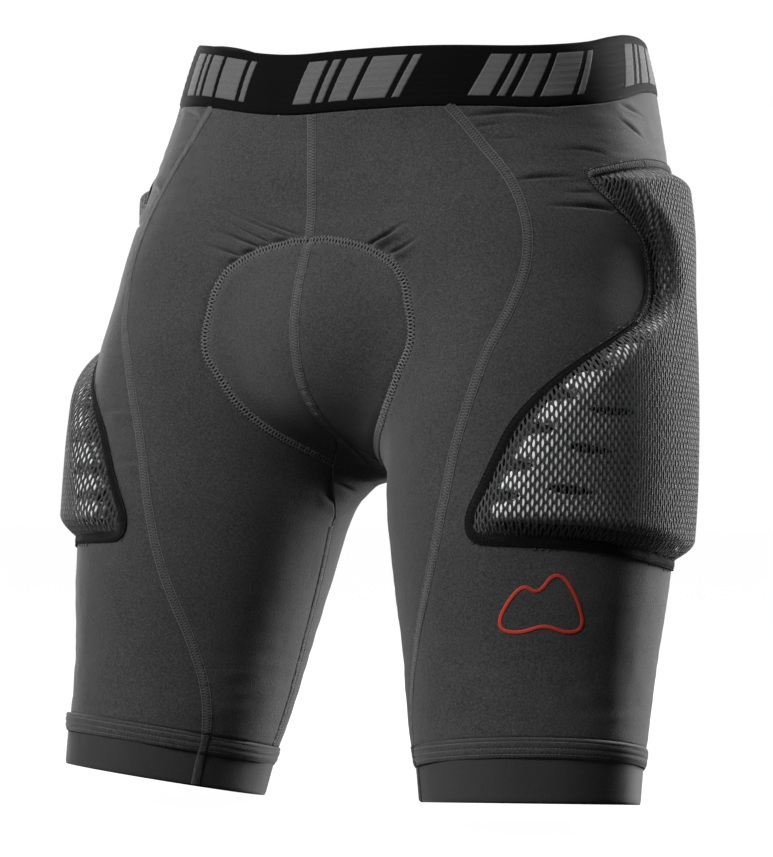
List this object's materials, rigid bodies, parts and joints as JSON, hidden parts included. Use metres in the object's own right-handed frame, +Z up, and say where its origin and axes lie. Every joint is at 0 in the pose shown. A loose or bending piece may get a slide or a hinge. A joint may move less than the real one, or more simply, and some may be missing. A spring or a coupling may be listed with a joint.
{
  "type": "padded impact shorts",
  "caption": "Close-fitting stretch shorts with an elastic waistband, foam hip and thigh pads in mesh pockets, a stitched-in seat pad and gripper leg ends.",
  "frame": {"origin": "middle of the waist opening, level with the waistband's top edge at the sides", "axes": "+X towards the wearer's left, -Y towards the wearer's front, +Z up out of the waist opening"},
  "size_m": [0.4224, 0.2926, 0.4976],
  "materials": {
    "knit": "stretch knit, matt with a faint sheen",
    "elastic": "ribbed woven elastic",
    "lining": "brushed",
    "gripper": "smooth elastic knit",
    "silicone": "matt silicone",
    "thread": "flatlock thread",
    "mesh": "open warp-knit mesh",
    "foam": "closed-cell foam",
    "binding": "folded tape",
    "seat_pad": "brushed moulded pad",
    "emblem": "heat transfer print"
  },
  "bodies": {
    "root": {"back_panel_left": "knit", "back_panel_right": "knit", "back_side_seam_left": "thread", "back_side_seam_right": "thread", "centre_back_seam": "thread", "centre_front_seam": "thread", "crotch_gusset": "knit", "front_panel_left": "knit", "front_panel_right": "knit", "front_seam_left": "thread", "front_seam_right": "thread", "hip_foam_left": "foam", "hip_foam_right": "foam", "hip_mesh_left": "mesh", "hip_mesh_right": "mesh", "inner_leg_seam_left": "thread", "inner_leg_seam_right": "thread", "leg_gripper_left": "gripper", "leg_gripper_right": "gripper", "leg_hem_left": "knit", "leg_hem_right": "knit", "pad_centre_seam": "thread", "pocket_binding_left": "binding", "pocket_binding_right": "binding", "seat_pad": "seat_pad", "seat_stitch_left": "thread", "seat_stitch_right": "thread", "side_panel_left": "knit", "side_panel_right": "knit", "silicone_grip_left": "silicone", "silicone_grip_right": "silicone", "tail_pad": "foam", "thigh_emblem": "emblem", "waistband": "elastic", "waistband_lining": "lining"}
  },
  "joints": []
}
